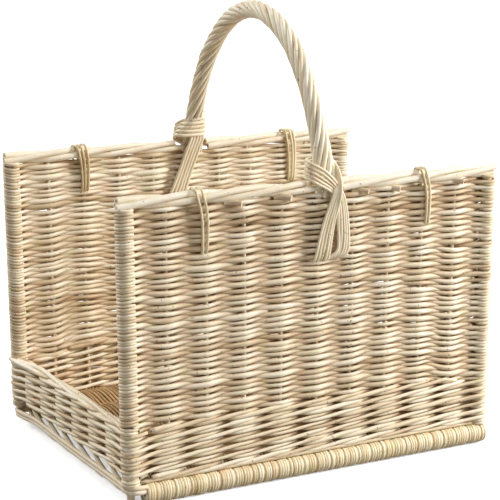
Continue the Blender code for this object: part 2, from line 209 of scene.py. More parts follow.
def willowGroup():
    # Peeled willow: a light and a dark colour mixed by each rod's own tone, with streaks along the grain,
    # tinted patches, painted shade that darkens rods to brown deep in the weave, small brown bud scars, and a
    # pith dot on each cut end
    group = bpy.data.node_groups.new("willowBark", "ShaderNodeTree")
    for kind, inOut, names in (("Color", "INPUT", "Light Middle Dark"),
                               ("Float", "INPUT", "Streaks Patches Scars"),
                               ("Color", "OUTPUT", "Colour"), ("Float", "OUTPUT", "Roughness Height")):
        for name in names.split():
            group.interface.new_socket(name=name, in_out=inOut, socket_type="NodeSocket" + kind)
    nodes, links = group.nodes, group.links
    given, out = nodes.new("NodeGroupInput"), nodes.new("NodeGroupOutput")

    def node(kind, **settings):
        made = nodes.new("ShaderNode" + kind)
        for key, value in settings.items():
            setattr(made, key, value)
        return made

    def maths(operation, a, b):
        made = node("Math", operation=operation)
        for index, value in enumerate((a, b)):
            if isinstance(value, (int, float)):
                made.inputs[index].default_value = value
            else:
                links.new(value, made.inputs[index])
        return made.outputs[0]

    def noise(vector, scale, detail):
        made = node("TexNoise")
        made.inputs["Scale"].default_value = scale
        made.inputs["Detail"].default_value = detail
        links.new(vector, made.inputs["Vector"])
        return made.outputs["Fac"]

    def ramp(value, zeroAt, oneAt):
        made = node("MapRange")
        links.new(value, made.inputs["Value"])
        made.inputs["From Min"].default_value = zeroAt
        made.inputs["From Max"].default_value = oneAt
        return made.outputs["Result"]

    def mixed(kind, factor, a, b):
        made = node("Mix", data_type="RGBA", blend_type=kind)
        for name, value in ((0, factor), (6, a), (7, b)):
            if isinstance(value, (int, float, tuple)):
                made.inputs[name].default_value = value
            else:
                links.new(value, made.inputs[name])
        return made.outputs[2]

    tone = node("Attribute", attribute_name="tone").outputs["Fac"]
    cut = node("Attribute", attribute_name="cut").outputs["Fac"]
    paintedShade = node("Attribute", attribute_name="paintedShade").outputs["Fac"]
    rodMap = node("UVMap", uv_map="rodMap").outputs["UV"]
    here = node("TexCoord").outputs["Object"]
    stretched = node("VectorMath", operation="MULTIPLY")
    links.new(rodMap, stretched.inputs[0])
    stretched.inputs[1].default_value = (18, 5, 1)
    perRod = node("VectorMath", operation="ADD")
    links.new(stretched.outputs[0], perRod.inputs[0])
    links.new(tone, perRod.inputs[1])
    streak = noise(perRod.outputs[0], 2.2, 4)
    patch = noise(here, 26, 3)
    tint = noise(here, 55, 2)
    scarSpot = noise(here, 210, 1)

    level = maths("ADD", tone, maths("MULTIPLY", maths("SUBTRACT", streak, 0.5), given.outputs["Streaks"]))
    level = maths("ADD", level, maths("MULTIPLY", maths("SUBTRACT", patch, 0.5), given.outputs["Patches"]))
    colour = mixed("MIX", ramp(level, 0.35, 0.9), given.outputs["Middle"], given.outputs["Light"])
    colour = mixed("MIX", ramp(level, 0.3, -0.35), colour, given.outputs["Dark"])
    pink = maths("MINIMUM", maths("MAXIMUM", maths("SUBTRACT", tint, 0.56), 0), 0.1)
    pink = maths("MULTIPLY", pink, 3.2)
    green = maths("MULTIPLY", maths("MAXIMUM", maths("SUBTRACT", 0.43, tint), 0), 3.2)
    colour = mixed("MULTIPLY", pink, colour, (0.98, 0.80, 0.70, 1))
    colour = mixed("MULTIPLY", green, colour, (0.86, 0.94, 0.72, 1))
    # Painted shade: where a point lies deep in the weave, the colour darkens towards brown.
    colour = mixed("MULTIPLY", maths("MULTIPLY", paintedShade, 0.6), colour, (0.54, 0.41, 0.29, 1))
    scar = maths("MULTIPLY", maths("GREATER_THAN", scarSpot, 0.745), given.outputs["Scars"])
    colour = mixed("MIX", scar, colour, (0.20, 0.11, 0.05, 1))
    face = maths("GREATER_THAN", cut, 0.02)
    pith = maths("GREATER_THAN", cut, 0.66)
    colour = mixed("MIX", face, colour, (0.94, 0.84, 0.66, 1))
    colour = mixed("MIX", pith, colour, (0.22, 0.12, 0.06, 1))
    rough = maths("ADD", maths("MULTIPLY", streak, 0.25), 0.36)
    links.new(colour, out.inputs["Colour"])
    links.new(rough, out.inputs["Roughness"])
    links.new(maths("ADD", streak, maths("MULTIPLY", patch, 0.3)), out.inputs["Height"])
    return group


willowBark = willowGroup()


def newMaterial(name):
    material = bpy.data.materials.new(name)
    material.use_nodes = True
    tree = material.node_tree
    return material, tree.nodes, tree.links, tree.nodes["Principled BSDF"]


def finish(name, light, middle, dark, streaks=0.7, patches=0.5, scars=0.6, gloss=0.35, bump=0.35):
    material, nodes, links, shader = newMaterial(name)
    bark = nodes.new("ShaderNodeGroup")
    bark.node_tree = willowBark
    for key, value in (("Light", light), ("Middle", middle), ("Dark", dark)):
        bark.inputs[key].default_value = (*value, 1)
    for key, value in (("Streaks", streaks), ("Patches", patches), ("Scars", scars)):
        bark.inputs[key].default_value = value
    links.new(bark.outputs["Colour"], shader.inputs["Base Color"])
    links.new(bark.outputs["Roughness"], shader.inputs["Roughness"])
    relief = nodes.new("ShaderNodeBump")
    relief.inputs["Strength"].default_value = bump
    relief.inputs["Distance"].default_value = 0.0004
    links.new(bark.outputs["Height"], relief.inputs["Height"])
    links.new(relief.outputs["Normal"], shader.inputs["Normal"])
    shader.inputs["Specular IOR Level"].default_value = gloss
    return material


weaveWillow = finish("weaveWillow", (0.95, 0.86, 0.69), (0.84, 0.71, 0.51), (0.50, 0.34, 0.19))
stoutWillow = finish("stoutWillow", (0.95, 0.87, 0.72), (0.85, 0.73, 0.54), (0.54, 0.38, 0.23))
floorWillow = finish("floorWillow", (0.76, 0.58, 0.36), (0.60, 0.42, 0.24), (0.36, 0.22, 0.11), gloss=0.25)
handleWillow = finish("handleWillow", (0.98, 0.91, 0.75), (0.93, 0.82, 0.62), (0.66, 0.49, 0.31), streaks=0.9)
splitCane = finish("splitCane", (0.88, 0.78, 0.56), (0.74, 0.60, 0.37), (0.45, 0.31, 0.16), gloss=0.5)
print("materials made")


# Tall woven walls: one rod in front of a stake and behind the next, and round the posts

tall = {
    "rows": 68,
    "rodRadius": 0.0035,
    "thicker": 0.22,  # a rod's butt end against its middle
    "rodLength": 0.95,
    "reach": (0.0056, 0.0052),  # how far a rod's middle line leaves the stakes' line, front and back
    "peak": 0.992,  # at 1, the wave's peaks are sharp
    "bend": 1.4,  # above 1, rods turn sharply over a stake and lie flatter between stakes
    "swing": 0.7,  # bays beside a post in which a rod swings out to go round it
    "thinning": 0.35,  # bays beside a post in which a rod thins to the turns' own thickness
    "evenness": 0.14,  # share of a row's height that doesn't follow its thickness
    "wrapRod": 0.0024,  # radius of the turns round the posts
    "rise": 0.0004,  # a stroke rises as it passes in front of a stake, seen from either face
    "drift": 0.0008,  # how far rows wander up and down
    "driftLength": 0.16,
    "topAbove": 0.0015,  # first and last rows against the wall's top and the low band's
    "bottomAbove": 0.002,
    "lowEnd": (0.17, 0.06),  # where the low band is a round lower: from this x on, over this length
    "paintedShade": (0.0020, 0.0072),  # distances from the stakes' line where painted shade is full and where it ends
    "shadeStrength": (1.1, 0.6),  # how much painted shade darkens the colour towards the stakes' line, front and back
    "perBay": 10,
    "perTurn": 8,
}


def thicknessAlong(rng, travelled, length, spread):
    # Rods joined end to end: each is thick at its butt and thins evenly to its tip, where the next one starts
    total = travelled[-1]
    ends = np.cumsum(rng.uniform(0.65, 1.35, int(total / length * 2) + 4) * length)
    which = np.searchsorted(ends, travelled)
    startOf = np.concatenate([[0], ends])[which]
    part = (travelled - startOf) / (ends[which] - startOf)
    own = rng.normal(0, 0.09, len(ends))[which]
    return 1 + own + spread * (0.5 - part) * 1.6, rng.uniform(0, 1, len(ends))[which]


def tallWall(name, face, seed, *nodes):
    # Each row is a wave between the two posts: its distance from the stakes' line is the reach times a
    # zigzag with rounded peaks, raised to a power. It takes one bay for each half turn and is reversed in
    # every second row. Rows are stacked by their own thickness at each place. A row turns half round the post
    # at its end and comes back as the next one.
    rng = np.random.default_rng(seed)
    uprights = np.array([-halfX, *stakeX, halfX])
    bays, rows = len(uprights) - 1, tall["rows"]
    lineY = face * halfY
    rodRadius, reach = tall["rodRadius"], tall["reach"][face > 0]
    postTurn = postRadius + tall["wrapRod"]
    bay = np.arange(bays * tall["perBay"] + 1) / tall["perBay"]
    rowX = np.interp(bay, np.arange(bays + 1), uprights)
    way = np.where(np.arange(rows) % 2 == 0, 1, -1)[:, None]
    wave = np.arcsin(tall["peak"] * np.cos(pi * bay)) / np.arcsin(tall["peak"])
    wave = np.sign(wave) * np.abs(wave) ** tall["bend"]
    toPost = np.minimum(bay, bays - bay)
    nearPost = smooth(1 - toPost / tall["swing"])
    out = way * wave * (reach + (postTurn - reach) * nearPost)

    length = rowX[-1] - rowX[0] + pi * postTurn
    travelled = np.arange(rows)[:, None] * length + np.where(way > 0, rowX - rowX[0], rowX[-1] - rowX)
    travelled = travelled.reshape(-1)
    thick, tone = thicknessAlong(rng, np.sort(travelled), tall["rodLength"], tall["thicker"])
    order = np.argsort(np.argsort(travelled))
    thick, tone = thick[order].reshape(rows, -1), tone[order].reshape(rows, -1)
    atPost = smooth(1 - toPost / tall["thinning"])
    thick = thick + (tall["wrapRod"] / rodRadius - thick) * atPost
    slab = tall["evenness"] + (1 - tall["evenness"]) * thick
    blur = np.hanning(2 * tall["perBay"] + 3)
    blur = blur / blur.sum()
    padded = np.pad(slab, ((0, 0), (len(blur) // 2, len(blur) // 2)), "edge")
    slab = np.stack([np.convolve(row, blur, "valid") for row in padded])
    share = (np.cumsum(slab, 0) - slab / 2) / slab.sum(0)
    # The low band is one round lower near one end, and the rows fill in there.
    top = wallTopZ + tall["topAbove"]
    bottom = trayTopZ + tall["bottomAbove"]
    lowFrom, lowOver = tall["lowEnd"]
    bottom = bottom - (trayTopZ - endTopZ) * smooth((rowX * -face - lowFrom) / lowOver)
    edge = smooth(share / 0.1) * smooth((1 - share) / 0.1)  # no drift at the top and bottom rows
    height = bottom + (top - bottom) * share
    drift = wander(rng, 9, tall["driftLength"])(rowX + 0 * height, height * 3)
    height = height + tall["drift"] * drift * edge
    stroke = 0.5 * np.sign(out) * np.sin(tau * bay) + 0.5 * way * np.sin(pi * bay)
    height = height - face * tall["rise"] * stroke * (1 - 0.5 * nearPost)

    turn = np.linspace(0, pi, tall["perTurn"] + 1)[1:-1]
    xs, outs, heights, thicks, tones = [], [], [], [], []
    for row in range(rows):
        sign = way[row, 0]
        forward = slice(None, None, int(sign))
        xs.append(rowX[forward])
        for kept, values in ((outs, out), (heights, height), (thicks, thick), (tones, tone)):
            kept.append(values[row][forward])
        if row < rows - 1:
            xs.append(sign * (halfX + postTurn * np.sin(turn)))
            step = height[row + 1][forward][-1] - heights[-1][-1]
            outs.append(np.sign(outs[-1][-1]) * postTurn * np.cos(turn))
            heights.append(heights[-1][-1] + step * turn / pi)
            thicks.append(np.full(len(turn), thicks[-1][-1]))
            tones.append(np.full(len(turn), tones[-1][-1]))
    path = pathOf(np.concatenate(xs), lineY + face * np.concatenate(outs), np.concatenate(heights))
    batches = [rods(path, rodRadius * np.concatenate(thicks), (0, 0, 1), np.concatenate(tones)[None])]
    # The rows' own turns cover every second place on a post; turns of rod between them fill the rest, and
    # one more closes the top and one the bottom.
    pitch = (top - bottom[0]) / rows
    for end, first in ((-1, 0), (1, 1)):
        column = height[:, -first]
        middle = ((column[1:] + column[:-1]) / 2)[first::2]
        tilt = np.concatenate([np.full(len(middle), -end * pitch / 2), [0, 0]])
        middle = np.concatenate([middle, [top + pitch * 0.35, bottom[-first] - pitch * 0.2]])
        radius = postRadius + tall["wrapRod"] * rng.uniform(0.9, 1.08, len(middle))[:, None]
        turns = pathOf(end * halfX + radius * np.sin(ringAngle),
                       lineY + face * radius * np.cos(ringAngle),
                       middle[:, None] + tilt[:, None] * np.cos(ringAngle))
        ringRod = tall["wrapRod"] * rng.uniform(0.9, 1.05, len(middle))[:, None]
        batches.append(rods(turns, ringRod, (0, 0, 1), rng.uniform(0, 0.7, len(middle)), closed=True))

    def fromMiddle(points):
        # distance from the stakes' line; round a post, a millimetre plus three quarters of the distance from
        # the post's own line
        away = np.abs(points[:, 1] - lineY)
        past = np.abs(points[:, 0]) - halfX
        besidePost = np.hypot(past, away) * 0.75 + 0.0010
        return np.where(past > -0.009, besidePost, away)

    # Painted shade: rods darken towards the stakes' line, deep in the weave, by each face's strength.
    for batch in batches:
        paintShade(batch, fromMiddle, *tall["paintedShade"])
        batch["paintedShade"] *= tall["shadeStrength"][face > 0]
    piece(name, batches, weaveWillow, "woven_willow", *nodes)


tallWall("frontWeave", -1, 11, "front_wall_weave")
tallWall("backWeave", 1, 12, "back_wall_weave")


# Upright sticks

upright = {
    "stakeRadius": 0.0031,
    "stakeLean": 0.0012,  # how far a stake bows out halfway up
    "postRadius": 0.0078,
    "postTop": 0.004,  # above the wall
    "postFoot": 0.003,  # below the foot borders
    "backLeftLift": 0.007,  # that post's foot ends higher
    "whittled": (0.66, 0.012),  # share of a post's thickness left at its foot, and the length that it takes
}


def uprightSticks(name, feet, lowZ, highZ, radius, seed, *nodes):
    # Straight rods from foot to top, thinner at the top. A stake bows aside by a small random amount times
    # the sine of half a turn over its height; a post stays straight, and its foot is whittled under the band.
    rng = np.random.default_rng(seed)
    feet = np.asarray(feet, float)
    isPost = lowZ < baseZ
    share = np.linspace(0, 1, 60 if isPost else 9)
    lean = rng.normal(0, upright["stakeLean"], (len(feet), 2)) * (not isPost)
    bow = lean[:, :, None] * np.sin(pi * share)
    path = pathOf(feet[:, :1] + bow[:, 0], feet[:, 1:] + bow[:, 1], lowZ + (highZ - lowZ) * share)
    size = radius * (1.05 - 0.12 * share)[None] * rng.uniform(0.94, 1.06, (len(feet), 1))
    if isPost:
        left, over = upright["whittled"]
        size = size * (left + (1 - left) * smooth((path[:, :, 2] - baseZ + over) / over))
    piece(name, [rods(path, size, (1, 0, 0), rng.uniform(0.2, 0.9, len(feet)), sides=10)],
          stoutWillow, "stout_willow", *nodes)


for face, word in ((-1, "front"), (1, "back")):
    uprightSticks(f"{word}Stakes", [(x, face * halfY) for x in stakeX],
                  baseZ, wallTopZ, upright["stakeRadius"], 20 + face,
                  *[f"{word}_stake_{i}" for i in range(1, 10)])
    for end, endWord in ((-1, "left"), (1, "right")):
        lift = upright["backLeftLift"] if face > end else 0
        uprightSticks(f"{word}{endWord.title()}Post", [(end * halfX, face * halfY)],
                      footZ - upright["postFoot"] + lift, wallTopZ + upright["postTop"],
                      upright["postRadius"], 30 + face * 2 + end, f"corner_post_{word}_{endWord}")


# Low band: three rods at a time, each in front of two stakes and behind the next, all the way round

tray = {
    "rounds": 6,
    "extra": 0.86,  # of a long wall, for the last short round on each
    "rodRadius": 0.0029,
    "reach": 0.0053,
    "endReach": 1.22,  # times the reach, on the low ends
    "flatness": 1.7,  # how long a rod keeps to one face before it crosses over
    "climb": 0.0031,  # each stroke rises as it passes in front
    "drift": 0.0006,
    "perBay": 8,
    "corner": 0.12,  # share of a bay that the turn round a post takes
    "swing": 0.75,  # bays beside a post in which a rod swings out to go round it
    "order": 0.31,  # bays by which each of three rods starts after the one before
    "rodLength": 1.1,
    "thicker": 0.22,
    "underRod": 0.0028,  # rods under the band, along a runner
    "underAside": 0.0046,
    "underZ": 0.0018,
    "ringRod": 0.0025,  # turns of rod on the posts
    "ringRadius": 0.0092,
    "ringPitch": 0.0046,
    "paintedShade": (0.0012, 0.0068),  # distances from the uprights' line where painted shade is full and where it ends
}


def bandPath(u, order, startZ, pitch, drift):
    # Position u counts uprights round the basket. A rod stands out by a flattened cosine with a period of
    # three uprights, and its height adds a sine with the same period, so that it rises in front of two
    # stakes and drops back behind the third. Near a post it swings out to the post's own radius.
    perLong, perShort = len(stakeX) + 1, endStakes + 1
    around = 2 * (perLong + perShort)
    corners = np.array([0, perLong, perLong + perShort, 2 * perLong + perShort, around])
    cornerXY = np.array([(-1, -1), (1, -1), (1, 1), (-1, 1), (-1, -1)]) * (halfX, halfY)
    local = np.mod(u, around)
    wall = np.clip(np.searchsorted(corners, local, side="right") - 1, 0, 3)
    fromStart, toEnd = local - corners[wall], corners[wall + 1] - local
    count = corners[wall + 1] - corners[wall]
    wide = tray["corner"]
    inside = np.clip((fromStart - wide) / (count - 2 * wide), 0, 1)
    base = cornerXY[wall] + (cornerXY[wall + 1] - cornerXY[wall]) * inside[:, None]
    facing = np.radians(-90 + 90 * wall)
    facing = facing + np.where(fromStart < wide, -pi / 4 * (1 - fromStart / wide), 0)
    facing = facing + np.where(toEnd < wide, pi / 4 * (1 - toEnd / wide), 0)
    phase = np.mod(u - order, 3)
    out = np.tanh(tray["flatness"] * (1 - 4 * np.cos(tau * phase / 3)) / 3) / np.tanh(tray["flatness"])
    nearPost = smooth((tray["swing"] - np.minimum(fromStart, toEnd)) / (tray["swing"] - wide))
    reach = tray["reach"] * np.where(wall % 2, tray["endReach"], 1)
    postReach = postRadius + tray["rodRadius"]
    away = reach * out * (1 - nearPost) + nearPost * postReach * (0.42 + 0.58 * out)
    height = startZ + pitch * u / around + tray["climb"] * np.sin(tau * (phase - 1.5) / 3)
    height = height + tray["drift"] * drift(u * 0.055, height * 2)
    return pathOf(base[:, 0] + np.cos(facing) * away, base[:, 1] + np.sin(facing) * away, height)


def lowBand():
    rng = np.random.default_rng(41)
    perLong, perShort = len(stakeX) + 1, endStakes + 1
    around = 2 * (perLong + perShort)
    pitch = (endTopZ - baseZ) / tray["rounds"]
    drift = wander(rng, 9, 0.30)
    batches = []
    # The whole rounds, then a short last one on the front wall and on the back wall.
    whole, extra = around * tray["rounds"], perLong * tray["extra"]
    backStart = whole - around + perLong + perShort
    runs = [(0, whole, baseZ), (whole, whole + extra, baseZ),
            (backStart + 0.3, backStart + extra, baseZ + pitch * 1.04)]
    for start, stop, z in runs:
        for order in range(3):
            u = np.arange(start, stop, 1 / tray["perBay"]) + order * tray["order"]
            path = bandPath(u, order, z + pitch * 0.5, pitch, drift)
            travelled = np.concatenate([[0], np.cumsum(np.linalg.norm(np.diff(path, axis=0), axis=1))])
            thick, tone = thicknessAlong(rng, travelled, tray["rodLength"], tray["thicker"])
            batches.append(rods(path, tray["rodRadius"] * thick, (0, 0, 1), tone[None]))

    # A rod on each face of the long walls lies along the runner, under the band.
    inPosts = halfX - 0.012
    x = np.linspace(-inPosts, inPosts, 60)
    for side in (-1, 1):
        for out in (-tray["underAside"], tray["underAside"]):
            path = pathOf(x, side * (halfY + out), baseZ + tray["underZ"])
            batches.append(rods(path, tray["underRod"], (0, 0, 1), rng.uniform(0.2, 0.8, 1)))
    # Turns of rod on the posts close the gaps that the band leaves there.
    for x in (-halfX, halfX):
        for y in (-halfY, halfY):
            z = np.arange(baseZ + 0.001, trayTopZ, tray["ringPitch"])
            turns = pathOf(x + tray["ringRadius"] * np.cos(ringAngle),
                           y + tray["ringRadius"] * np.sin(ringAngle),
                           z[:, None] + 0.0012 * np.cos(ringAngle + 0.8))
            batches.append(rods(turns, tray["ringRod"], (0, 0, 1), rng.uniform(0, 0.8, len(z)), closed=True))

    def fromMiddle(points):
        # distance from the box that the uprights' lines make; nothing at the corners gets painted shade
        x, y = np.abs(points[:, 0]) - halfX, np.abs(points[:, 1]) - halfY
        inside = np.minimum(np.abs(x), np.abs(y))
        return np.where((x > -0.012) & (y > -0.012), 1, inside)

    # Painted shade: the band's rods darken towards the uprights' line, deep in the weave.
    for batch in batches:
        paintShade(batch, fromMiddle, *tray["paintedShade"])
    piece("lowBand", batches, weaveWillow, "woven_willow",
          "tray_band_front", "tray_band_back", "tray_band_left", "tray_band_right")


lowBand()
print("walls woven")


# Curves and bundles

def curveThrough(points, perSpan):
    # A smooth curve through the points: on each span, the cubic whose ends run parallel to the line between
    # the neighbours on either side
    points = np.asarray(points, float)
    first = 2 * points[..., :1, :] - points[..., 1:2, :]
    last = 2 * points[..., -1:, :] - points[..., -2:-1, :]
    p = np.concatenate([first, points, last], -2)
    t = (np.arange(perSpan) / perSpan)[:, None]
    a, b, c, d = (p[..., i:p.shape[-2] - 3 + i, None, :] for i in range(4))
    square, cube = 2 * a - 5 * b + 4 * c - d, 3 * b - a - 3 * c + d
    curve = 0.5 * (2 * b + (c - a) * t + square * t ** 2 + cube * t ** 3)
    curve = curve.reshape(*points.shape[:-2], -1, points.shape[-1])
    return np.concatenate([curve, points[..., -1:, :]], -2)


def bundle(rng, rows, count, side, perSpan=8, loose=0.0003):
    # Rods side by side. Each row holds a place (x, distance out from the wall's middle, height) and the
    # step from one rod to the next there (the same three ways); rod j is j steps from the first, and the
    # rods are centred on the place.
    rows = np.asarray(rows, float)
    step = np.arange(count) - (count - 1) / 2
    places = rows[None, :, :3] + step[:, None, None] * rows[None, :, 3:]
    places = places + rng.normal(0, loose, places.shape)
    path = curveThrough(places, perSpan)
    path[..., 1] = side * (halfY + path[..., 1])
    return path


# Rails along the tall walls, and rims along the low ends: thick rods rolled round each other

rail = {
    "rod": 0.0045,
    "offset": 0.0052,  # from the rail's line to a rod's
    "pitch": 0.26,
    "outside": 0.0115,  # past the posts' line
    "trim": {"left": (0.001, 0, 0.002), "right": (0, 0.0015, 0.001)},  # each rod's end, short of that
    "handleEnds": {"left": (-0.0205, -0.0065, -0.015), "right": (0.031, 0.036, 0.028)},
    "shift": {"left": 1.2, "right": 2.9},
}
peg = {
    "rod": 0.0040,
    "x": (-0.1199, -0.0474, 0.0720, 0.1230, 0.2290),
    "length": 0.020,
    "out": 0.0125,
    "below": 0.0008,  # under the wall's top
    "hump": 0.0015,
}
rim = {
    "rod": 0.0034,
    "offset": 0.0037,
    "pitch": 0.52,
    "start": 0.009,  # short of the front posts' line
    "aside": 0.0100,  # the rims pass outside the back posts, a little lower
    "asideDrop": 0.004,
    "asideFrom": 0.105,
    "asideOver": 0.11,
}


def rolledRods(rng, values, start, stop, length, line, height, shift, axis=0, hand=1):
    # Three screws about a line: rod k stands at angle shift plus k thirds of a turn, less a full turn for
    # each pitch of the way along; each rod starts and stops at its own place
    share = np.linspace(0, 1, length)
    start, stop = np.asarray(start, float)[:, None], np.asarray(stop, float)[:, None]
    along = start + (stop - start) * share
    angle = shift + tau * np.arange(3)[:, None] / 3 - tau * along / (values["pitch"] * hand)
    across = line + values["offset"] * np.cos(angle)
    up = height + values["offset"] * np.sin(angle)
    path = pathOf(along, across, up) if axis == 0 else pathOf(across, along, up)
    size = values["rod"] * (1.08 - 0.16 * share) * rng.uniform(0.94, 1.05, (3, 1))
    return rods(path, size, (0, 0, 1), rng.uniform(0.45, 1, 3), sides=12)


def rails():
    rng = np.random.default_rng(51)
    for side, word in ((-1, "front"), (1, "back")):
        line = side * halfY
        for half, end in (("left", -1), ("right", 1)):
            outer = end * (halfX + rail["outside"] - np.array(rail["trim"][half]))
            inner = rail["handleEnds"][half]
            start, stop = (outer, inner) if end < 0 else (inner, outer)
            made = rolledRods(rng, rail, start, stop, 60, line, railZ, rail["shift"][half])
            piece(f"{word}{half.title()}Rail", [made], stoutWillow, "stout_willow",
                  f"{word}_rail_{half}", sharp=40)
        # The stakes' bent-over ends come out from under the rail and point along it.
        x = np.array(peg["x"])
        t = np.linspace(0, 1, 7)
        z = wallTopZ - peg["below"] + peg["hump"] * np.sin(pi * t)
        path = pathOf(x[:, None] - peg["length"] * (1 - t), line + side * (0.0005 + peg["out"] * t ** 1.6),
                      z + rng.normal(0, 0.0006, len(x))[:, None])
        size = peg["rod"] * rng.uniform(0.85, 1.1, (len(x), 1))
        piece(f"{word}Pegs", [rods(path, size, (0, 0, 1), rng.uniform(0, 0.3, len(x)), sides=10)],
              stoutWillow, "stout_willow", sharp=40)


def endRims():
    # Rolled rods whose places past asideFrom from the back posts' line move aside and down by a smooth step
    rng = np.random.default_rng(52)
    near, far = rim["start"] - halfY, halfY
    for end, word in ((-1, "left"), (1, "right")):
        made = rolledRods(rng, rim, (near, near + 0.004, near), (far, far - 0.004, far + 0.003), 50,
                          end * halfX, rimZ, 0.6, axis=1, hand=-end)
        verts = made["verts"]
        past = smooth((verts[:, 1] - halfY + rim["asideFrom"]) / rim["asideOver"])
        verts[:, 0] += end * rim["aside"] * past
        verts[:, 2] -= rim["asideDrop"] * past
        piece(f"{word}Rim", [made], stoutWillow, "stout_willow", f"{word}_end_rim", sharp=40)


rails()
endRims()


# Foot borders: the end stakes come down, slant along the foot rods and tuck in behind the next ones

border = {
    "stakeRod": 0.0035,
    "bulge": 0.0045,  # how far a slanting stake bows outwards
    "slant": 1.75,  # bays that a stake passes on its way down
    "drop": 0.0225,
    "footRod": (0.0034, 0.0033),
    "outside": (0.0038, 0.0030),  # of the posts' line, at the low end
    "corner": (0.0104, 0.0112),  # outside that line where the rod turns round the post
    "height": (0.0270, 0.0210),
    "droop": 0.006,  # how much lower the left ones lie at the back
    "shortOf": 0.0155,  # the right ones end this far inside the runners' line
    "ringRod": 0.0024,  # a post's last turns of rod
    "ringRadius": 0.0104,
    "ringZ": (0.0005, 0.0045),
}


def footBorders():
    # A slanting stake goes sideways by a smooth step of its length and drops by a quicker one
    number = endStakes
    gap = 2 * halfY / (number + 1)
    t = np.linspace(0, 1, 22)
    sideways = gap * border["slant"] * smooth((t - 0.12) / 0.88) ** 0.8
    for end, word in ((-1, "left"), (1, "right")):
        rng = np.random.default_rng(60 + end)
        y = (-halfY + gap * np.arange(1, number + 1)) * end
        path = pathOf(end * (halfX + border["bulge"] * np.sin(pi * t) - 0.003 * t),
                      np.clip(y[:, None] + end * sideways, -halfY + 0.003, halfY - 0.003),
                      baseZ + 0.008 - border["drop"] * smooth(t / 0.75) - 0.0003 * t)
        size = border["stakeRod"] * rng.uniform(0.9, 1.1, (number, 1))
        batches = [rods(path, size, (1, 0, 0), rng.uniform(0.2, 0.8, number))]
        # Two foot rods. On the left they bend round under both posts to the runners' ends; on the right they
        # lie between the runners.
        rows = []
        for outside, z, bend in zip(border["outside"], border["height"], border["corner"]):
            x, corner = halfX + outside, halfY + bend
            if end < 0:
                half = np.array([(x + 0.001, halfY * 0.6, z - 0.002), (x + 0.003, halfY * 0.90, z),
                                 (x + 0.0035, halfY * 0.99, z), (x - 0.004, corner, z),
                                 (x - 0.019, corner, z - 0.001), (x - 0.0215, corner - 0.001, z - 0.001)])
                back = half - (0, 0, border["droop"])
                back[0] = half[0]
            else:
                half = np.array([(x, halfY * 0.5, z - 0.001), (x, runnerY - border["shortOf"], z)])
                back = half
            rows.append(np.concatenate([back[::-1] * (end, 1, 1), [(end * (x + 0.001), 0, z - 0.003)],
                                        half * (end, -1, 1)]))
        size = np.array(border["footRod"])[:, None]
        batches.append(rods(curveThrough(rows, 8), size, (0, 0, 1), [0.35, 0.6], sides=10))
        # Each post's last turns of rod, between the band and the foot rods.
        turns = pathOf(end * halfX + border["ringRadius"] * np.cos(ringAngle),
                       halfY + border["ringRadius"] * np.sin(ringAngle),
                       baseZ + np.array(border["ringZ"])[:, None])
        for far in (1, -1):
            batches.append(rods(turns * (1, far, 1), border["ringRod"], (0, 0, 1), [0.4, 0.7], closed=True))
        piece(f"{word}Foot", batches, stoutWillow, "stout_willow", f"{word}_foot_border", sharp=40)


footBorders()


# Runners: a stick bound with turns of split cane

binding = {
    "pitch": 0.0044,
    "radius": 0.0138,
    "thick": 0.0009,  # half of a turn's thickness
    "flat": 2.5,  # a turn's width against its thickness
    "sink": 0.0007,  # of the turns' middle line under the radius
    "group": 4.8,  # turns between two wider cuts
    "cut": 0.85,  # how much wider those are, in pitches
    "bulge": 0.0007,  # of a group's middle
    "slant": 0.0009,
    "stick": 0.0008,  # the stick inside is thinner than the radius by this
}


def runners():
    # Each turn of cane is a circle round the stick, slanting by the slant times the sine of its angle. The
    # circle's radius swells by the sine of half a turn over each group.
    start, stop = runnerX
    number = int((stop - start) / binding["pitch"])
    a = tau * np.arange(18) / 18
    for side, word in ((-1, "front"), (1, "back")):
        rng = np.random.default_rng(70 + side)
        line = side * runnerY
        steps = rng.uniform(0.82, 1.1, number)
        group = np.cumsum(rng.uniform(0.7, 1.3, number)) / binding["group"]
        steps = steps + (np.diff(np.floor(group), append=0) > 0) * binding["cut"]
        x = start + (stop - start) * (np.cumsum(steps) - steps[0] / 2) / steps.sum()
        bulge = binding["bulge"] * np.sin(pi * np.mod(group, 1)) + rng.normal(0, 0.00012, number)
        radius = (binding["radius"] - binding["sink"] + bulge)[:, None]
        tilt = binding["slant"] * np.sin(a + 0.6) + rng.normal(0, 0.00025, (number, 1)) * np.cos(a)
        path = pathOf(x[:, None] + tilt, line + radius * np.cos(a), runnerZ + radius * np.sin(a))
        made = rods(path, binding["thick"] * rng.uniform(0.85, 1.15, (number, 1)), (1, 0, 0),
                    np.clip(rng.normal(0.6, 0.22, number), 0, 1), flat=binding["flat"], closed=True)
        piece(f"{word}Binding", [made], splitCane, "split_cane", f"{word}_runner_binding")
        core = pathOf(np.linspace(start + 0.001, stop - 0.001, 24), line, runnerZ)
        piece(f"{word}RunnerStick",
              [rods(core, binding["radius"] - binding["stick"], (0, 0, 1), [0.3], sides=24)],
              stoutWillow, "stout_willow", f"{word}_runner_core", sharp=40)


runners()


# Floor: rods across the basket, over one stick and under the next

base = {
    "number": 176,
    "rod": 0.0020,
    "taper": 0.12,
    "reach": 0.0050,  # how far a rod goes over and under the sticks' line
    "inset": 0.008,  # the first and last rods against the posts' line
}


